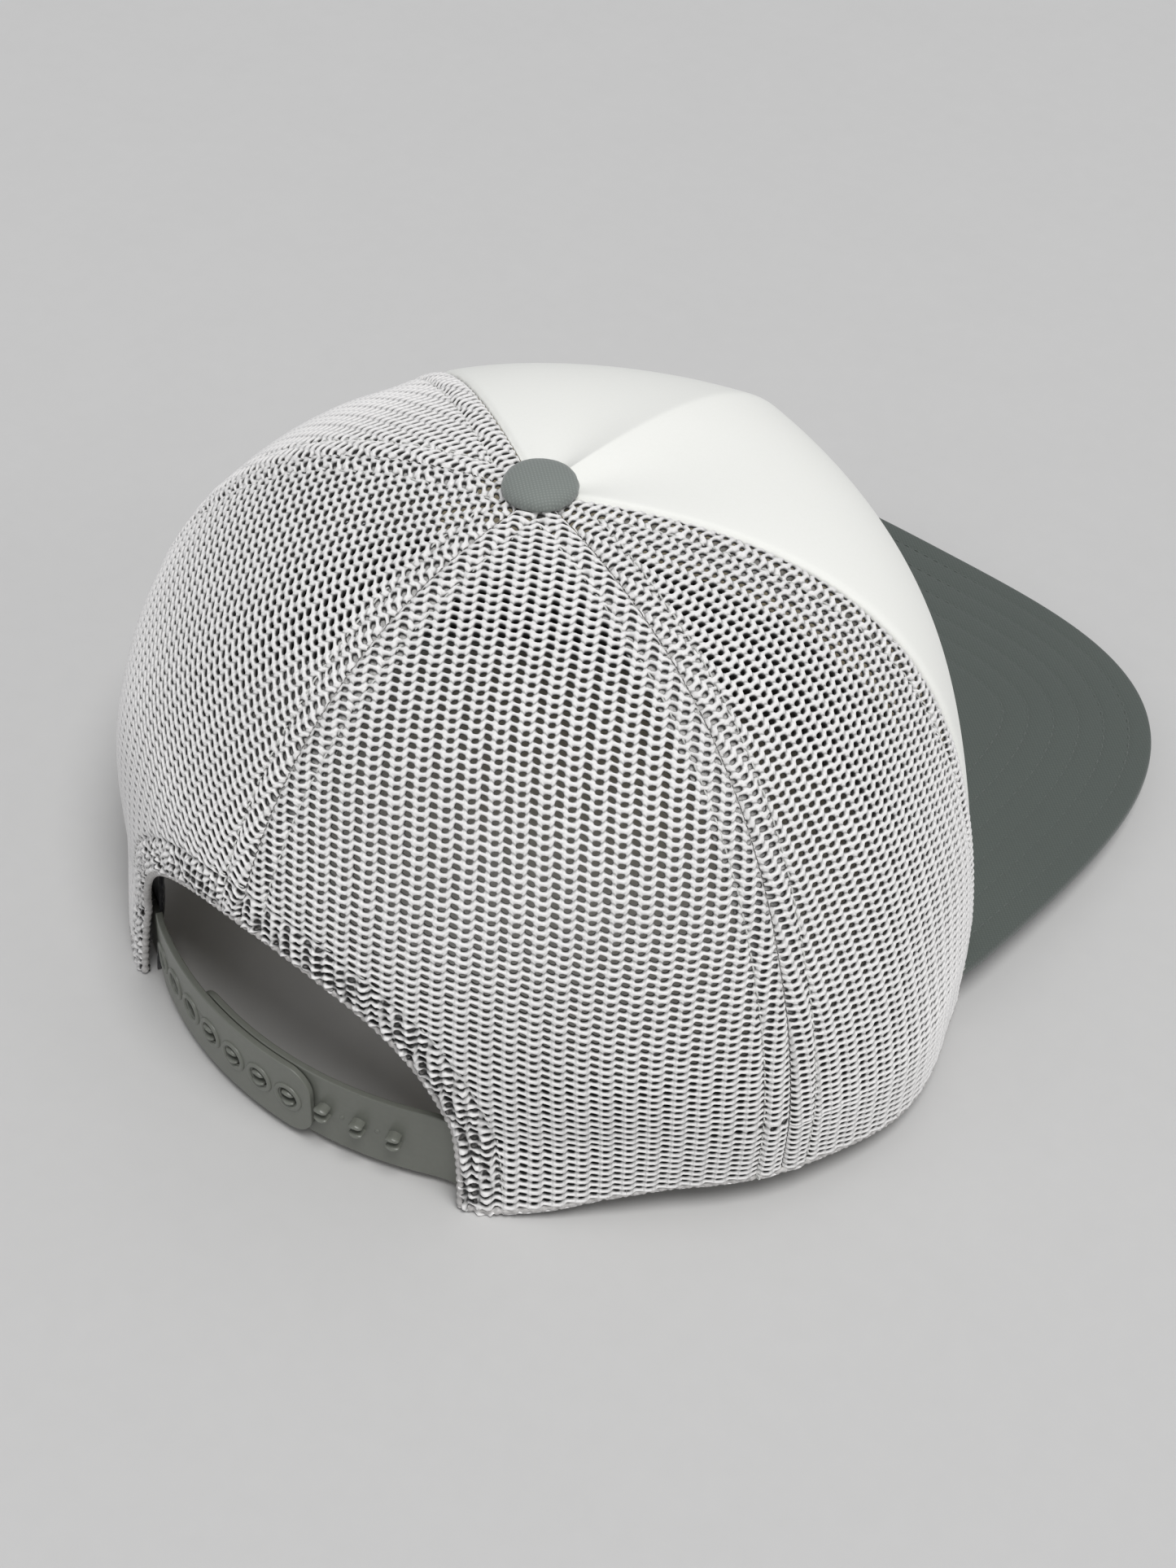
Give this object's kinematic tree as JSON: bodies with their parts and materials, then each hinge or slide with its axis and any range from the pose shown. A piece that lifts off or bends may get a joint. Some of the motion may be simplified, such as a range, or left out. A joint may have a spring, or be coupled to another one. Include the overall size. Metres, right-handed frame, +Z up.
{
  "type": "baseball cap",
  "caption": "Trucker-style baseball cap with foam front panel, mesh side and back panels, flat visor, covered button and adjustable snap closure over a rear arch.",
  "frame": {"origin": "middle of the whole cap's footprint, in the plane the rim rests on; the crown's own axis is 35.53 mm behind it", "axes": "+Z up, -Y towards the visor, +Y towards the snap closure, +X to the wearer's left"},
  "size_m": [0.2118, 0.2452, 0.1173],
  "materials": {
    "front_cloth": "smooth brushed polyester",
    "foam": "open-cell laminate foam",
    "mesh": "knitted polyester mesh",
    "tape": "plain woven tape",
    "visor_cloth": "fine matt twill",
    "board": "matt",
    "button_cloth": "fine matt twill",
    "button_metal": "plain pressed steel",
    "sweatband_cloth": "brushed cotton twill",
    "strap_plastic": "satin moulded"
  },
  "bodies": {
    "crown": {"front_panel": "front_cloth", "front_foam": "foam", "side_mesh_left": "mesh", "side_mesh_right": "mesh", "back_mesh_left": "mesh", "back_mesh_right": "mesh", "front_seam_tape_left": "tape", "front_seam_tape_right": "tape", "side_seam_tape_left": "tape", "side_seam_tape_right": "tape", "back_seam_tape": "tape", "arch_binding": "mesh", "sweatband": "sweatband_cloth", "visor_board": "board", "visor_top_cover": "visor_cloth", "visor_under_cover": "visor_cloth", "button_cover": "button_cloth", "button_cup": "button_metal", "button_rivet": "button_metal", "hole_strap_tab": "strap_plastic", "peg_strap_tab": "strap_plastic"},
    "outer_strap": {"hole_strap": "strap_plastic"},
    "inner_strap": {"peg_strap": "strap_plastic"}
  },
  "joints": [
    {"name": "outer_strap_swing", "type": "hinge", "parent": "crown", "child": "outer_strap", "pos_m": [0.04321, 0.10949, 0.0107], "axis": [0, 0, -1], "range_deg": [0, 90]},
    {"name": "inner_strap_swing", "type": "hinge", "parent": "crown", "child": "inner_strap", "pos_m": [-0.04239, 0.108, 0.0107], "axis": [0, 0, -1], "range_deg": [0, 60]}
  ]
}
